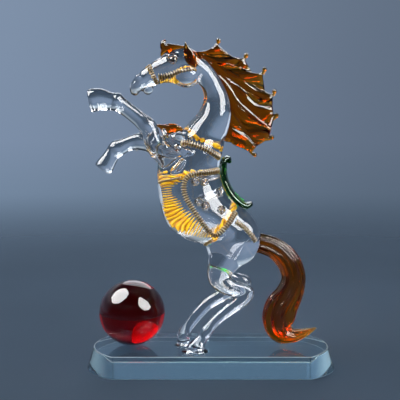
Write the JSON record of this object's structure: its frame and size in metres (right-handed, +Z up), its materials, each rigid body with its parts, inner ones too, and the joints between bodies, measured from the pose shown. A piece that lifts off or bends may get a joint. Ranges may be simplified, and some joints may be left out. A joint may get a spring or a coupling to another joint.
{
  "type": "glass horse figurine",
  "caption": "Rearing horse of clear flame-worked glass with amber mane and tail, gold thread harness and a ruby ball, on a clear glass base.",
  "frame": {"origin": "middle of the base's underside, on the surface that the figurine stands on", "axes": "+Z up, -X the way the horse faces, -Y the side the picture shows (the horse's left side)"},
  "size_m": [0.1906, 0.08, 0.2492],
  "materials": {
    "base_glass": "clear polished plate glass with a faint blue-green edge",
    "clear_glass": "clear flame-polished glass",
    "ruby_glass": "deep ruby glass, polished",
    "amber_glass": "dark amber glass, flame polished",
    "green_glass": "dark green glass, flame polished",
    "gold_thread_glass": "ribbed gold-tan glass thread, satin",
    "eye_glass": "clear bead over a small black pupil"
  },
  "bodies": {
    "root": {"base": "base_glass", "ball": "ruby_glass", "horse": "clear_glass", "mane": "amber_glass", "forelock": "amber_glass", "ear_left": "amber_glass", "ear_right": "amber_glass", "chest_plume": "amber_glass", "tail": "amber_glass", "saddle": "green_glass", "breast_collar_left": "gold_thread_glass", "breast_collar_right": "gold_thread_glass", "saddle_cloth_trim_left": "gold_thread_glass", "saddle_cloth_trim_right": "gold_thread_glass", "front_girth_left": "gold_thread_glass", "front_girth_right": "gold_thread_glass", "rear_girth_left": "gold_thread_glass", "rear_girth_right": "gold_thread_glass", "crupper_left": "gold_thread_glass", "crupper_right": "gold_thread_glass", "noseband_left": "gold_thread_glass", "noseband_right": "gold_thread_glass", "cheek_strap_left": "gold_thread_glass", "cheek_strap_right": "gold_thread_glass", "collar_drop_left": "clear_glass", "collar_drop_right": "clear_glass", "eye_left": "eye_glass", "eye_right": "eye_glass", "prunt_left_1": "clear_glass", "prunt_left_2": "clear_glass", "prunt_left_3": "clear_glass", "prunt_left_4": "clear_glass", "prunt_left_5": "clear_glass", "prunt_left_6": "clear_glass", "prunt_right_1": "clear_glass", "prunt_right_2": "clear_glass", "prunt_right_3": "clear_glass", "prunt_right_4": "clear_glass", "prunt_right_5": "clear_glass", "prunt_right_6": "clear_glass"}
  },
  "joints": []
}
